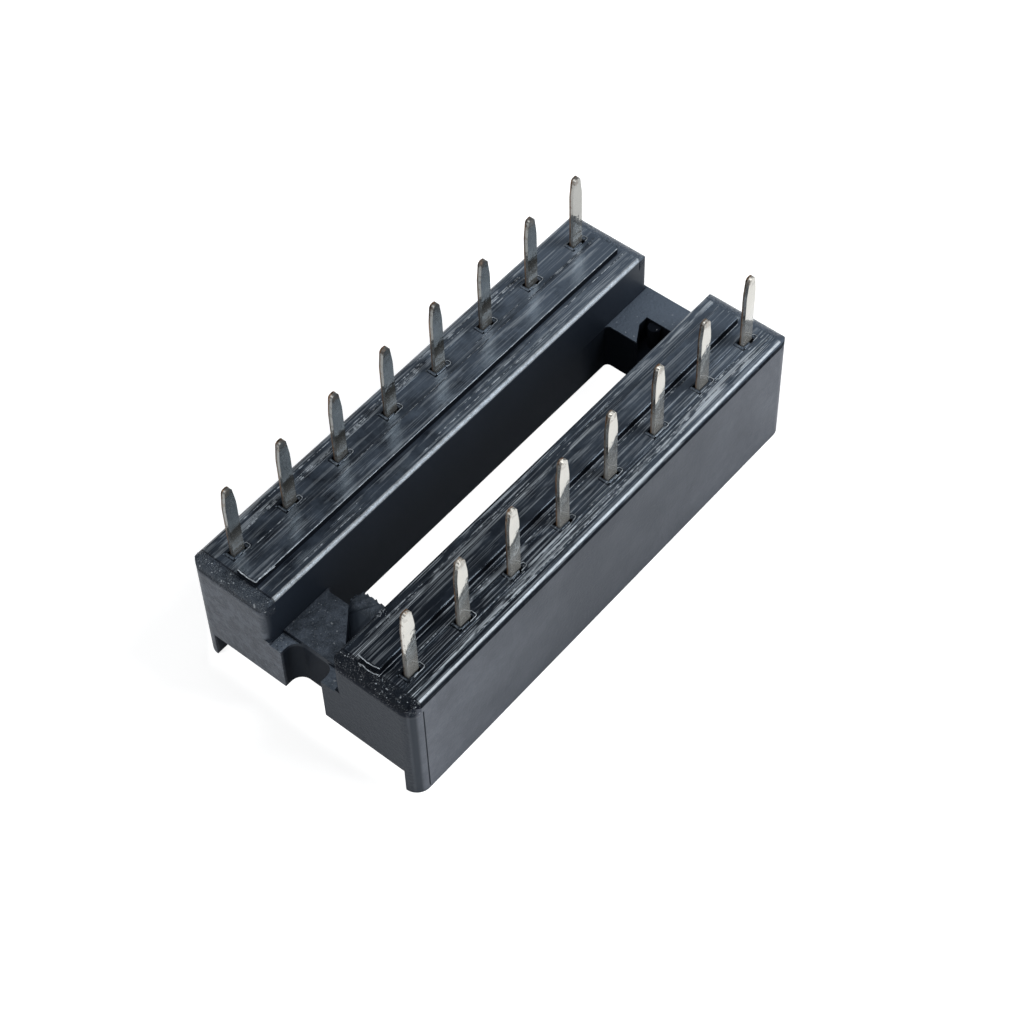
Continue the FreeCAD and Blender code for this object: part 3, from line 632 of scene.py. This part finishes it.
def add_tool_lines(group, finish):
    """Fine raised lines along the rails, left by the cutter that made the mould."""
    chance = random.Random(23)
    lanes = [
        (1.62, 2.15, 9, 0.010),
        (3.2, 3.5, 7, 0.010),
        (4.06, 4.58, 22, 0.012),
        (3.55, 4.05, 10, 0.009),
    ]
    for label, side in (("left", 1), ("right", -1)):
        lines = []
        for low, high, count, lift in lanes:
            for _ in range(count):
                y = side * chance.uniform(low, high)
                start = chance.uniform(-9.5, 7.0)
                stop = min(start + chance.uniform(0.8, 5.5), 9.5)
                rise = RAIL_TOP - 0.008 + lift * chance.uniform(0.3, 1)
                lines.append([(start, y, rise), (stop, y + chance.uniform(-0.015, 0.015), rise)])
        clear = [line for line in lines if not crosses_slot(line)]
        name = f"tool_lines_{label}"
        add_beads(name, clear, group, finish, radius=0.016, step=0.12, wander=0.012, uneven=0.6)


def crosses_slot(line):
    """Whether a line along X would run over one of the slots, or close beside it."""
    room = 0.06
    (start, y, _), (stop, _, _) = line
    if abs(abs(y) - ROW) > SLOT_SIDE + room:
        return False
    spots = [number * PITCH - HALF_ROW for number in range(TAILS)]
    reach = SLOT_END + room
    return any(start < spot + reach and stop > spot - reach for spot in spots)


def torn_outline(chance):
    """The gate lip's torn edge, then the three points where it is held, seen from above."""
    free = [(-7.42, 0.44), (-7.2, 0.60), (-6.98, 0.68), (-6.78, 0.62), (-6.62, 0.42)]
    free += [(-6.56, 0.05), (-6.62, -0.35), (-6.54, -0.8), (-6.6, -1.2), (-6.58, -1.44)]
    held = [(-7.7, -1.44), (-8.1, -0.9), (-7.9, -0.1)]
    jags = 5  # between two points of the free edge
    rim = []
    for (x0, y0), (x1, y1) in zip(free, free[1:]):
        for step in range(jags):
            share = step / jags
            jag = chance.uniform(-0.035, 0.035)
            rim.append((x0 + (x1 - x0) * share + jag, y0 + (y1 - y0) * share + jag))
    return rim + [free[-1]] + held


def add_gate_flash(finish):
    """The torn edge of the near gate's lip, which hangs over into the window."""
    chance = random.Random(5)
    rim = torn_outline(chance)
    proud = 0.04  # over the lip
    body = bmesh.new()
    rings = []
    for sink in (0.0, 0.12, 0.3):
        ring = []
        for x, y in rim:
            level = GATE_FLOOR + (x - LIP_START) * LIP_SLOPE + proud - sink
            level += chance.uniform(-0.025, 0.025)
            spread = chance.uniform(-0.02, 0.02)
            ring.append(body.verts.new(Vector((x + spread, y + spread, level)) * MM))
        rings.append(ring)
    count = len(rim)
    for upper, lower in zip(rings, rings[1:]):
        for number in range(count):
            after = (number + 1) % count
            body.faces.new((upper[number], upper[after], lower[after], lower[number]))
    caps = [body.faces.new(rings[0]), body.faces.new(rings[-1])]
    bmesh.ops.triangulate(body, faces=caps)
    bmesh.ops.recalc_face_normals(body, faces=body.faces)
    mesh = bpy.data.meshes.new("gate_flash")
    body.to_mesh(mesh)
    body.free()
    mesh.materials.append(finish)
    flash = add_object("gate_flash", mesh)
    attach(flash, "root")


def merged_copy(node):
    """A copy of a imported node's mesh with its loose triangles joined."""
    mesh = node.data.copy()
    body = bmesh.new()
    body.from_mesh(mesh)
    bmesh.ops.remove_doubles(body, verts=body.verts, dist=0.0005 * MM)
    body.to_mesh(mesh)
    body.free()
    return mesh


def add_grit(group, skin, finish):
    """Coarse spark-eroded grain on the near rims, the near bar, the gate's lip and its scar. Each
    patch has the corners of its box, granules per square millimetre and their radii."""
    patches = {
        "near_rim_left": ((-10.2, 1.4, 4.7), (-9.66, 4.9, 5.2), 90, 0.006, 0.022),
        "near_rim_right": ((-10.2, -4.9, 4.7), (-9.66, -1.4, 5.2), 90, 0.005, 0.030),
        "front_strip": ((-10.2, 0.9, 3.0), (STRIP_LINE, 1.5, 3.3), 160, 0.010, 0.024),
        "near_bar": ((STRIP_LINE, -1.45, 3.0), (-7.3, 1.45, 3.3), 40, 0.006, 0.018),
        "gate_lip": ((-8.4, -1.45, 2.2), (-6.6, 0.5, 3.15), 60, 0.008, 0.022),
        "scar": ((-8.1, -2.0, 4.9), (-7.6, -1.42, 5.2), 260, 0.010, 0.028),
    }
    for number, (label, patch) in enumerate(patches.items()):
        low, high, density, smallest, largest = patch
        values = {
            "Density": density / MM ** 2,
            "Seed": 100 + number,
            "Low": [part * MM for part in low],
            "High": [part * MM for part in high],
            "Smallest": smallest * MM,
            "Largest": largest * MM,
            "Finish": finish,
        }
        grown_piece(f"grit_{label}", skin.copy(), group, values)


def add_lamp(name, place, size, radiance, colour):
    """A square soft box that looks at the part, as bright to the eye as its radiance says."""
    light = bpy.data.lights.new(name, "AREA")
    light.shape = "SQUARE"
    light.size = size * MM
    light.energy = radiance * math.pi * (size * MM) ** 2
    light.color = colour
    lamp = add_object(name, light)
    lamp.location = Vector(place) * MM
    lamp.rotation_euler = (-lamp.location).to_track_quat("-Z", "Y").to_euler()


def add_camera():
    """A camera where the photographer's stood, worked out from the spacing of the contacts."""
    stand = Vector((-38.98, -34.89, 69.66))
    yaw, pitch, roll = math.radians(41.45), math.radians(52.63), math.radians(-2.18)
    level = math.cos(pitch)
    forward = Vector((math.cos(yaw) * level, math.sin(yaw) * level, -math.sin(pitch)))
    right = forward.cross(Vector((0, 0, 1))).normalized()
    up = right.cross(forward)
    turned_right = right * math.cos(roll) + up * math.sin(roll)
    turned_up = up * math.cos(roll) - right * math.sin(roll)
    lens = bpy.data.cameras.new("camera")
    lens.sensor_width = 36
    lens.lens = 85.98
    lens.clip_start = 1 * MM
    camera = add_object("camera", lens)
    turn = Matrix((turned_right, turned_up, -forward)).transposed().to_4x4()
    camera.matrix_world = Matrix.Translation(stand * MM) @ turn
    bpy.context.scene.camera = camera


def add_floor(material):
    """A table wide enough to fill the view."""
    reach = 2000 * MM
    mesh = bpy.data.meshes.new("table")
    corners = [(-reach, -reach, 0), (reach, -reach, 0), (reach, reach, 0), (-reach, reach, 0)]
    mesh.from_pydata(corners, [], [(0, 1, 2, 3)])
    mesh.materials.append(material)
    add_object("table", mesh)


def light_scene():
    """Soft boxes round the part, brightest behind it to the right, in a dim white room."""
    world = bpy.data.worlds.new("studio")
    world.use_nodes = True
    background = world.node_tree.nodes["Background"]
    background.inputs["Color"].default_value = (0.92, 0.96, 1.0, 1)
    background.inputs["Strength"].default_value = 0.2
    bpy.context.scene.world = world
    add_lamp("back_left_box", (-300, 260, 420), 320, 2.6, (1.0, 0.99, 0.97))
    add_lamp("overhead_box", (-30, 60, 480), 200, 3.6, (1.0, 1.0, 1.0))
    add_lamp("right_box", (230, -380, 190), 240, 7.0, (0.95, 0.98, 1.0))
    add_lamp("top_right_box", (235, -235, 390), 150, 12.0, (0.97, 0.99, 1.0))
    add_lamp("front_box", (-380, -160, 240), 240, 1.6, (1.0, 1.0, 1.0))
    bpy.context.scene.view_settings.view_transform = "Standard"


add_camera()
light_scene()
add_floor(floor_material())
plastic = moulding_material()
metal = contact_material()
for name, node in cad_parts.items():
    paint(node, plastic if name == "housing" else metal)
scuffed_and_highlit = scuff_and_highlight_material("scuffed_and_highlit_moulding", 0.0)
torn = scuff_and_highlight_material("torn_and_highlit_moulding", 0.5)
bead = bead_tree()
add_slot_burrs(bead, torn, plastic)
add_ridge_burrs(bead, torn)
add_tool_lines(bead, scuffed_and_highlit)
add_gate_flash(plastic)
add_grit(grit_tree(), merged_copy(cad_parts["housing"]), scuffed_and_highlit)
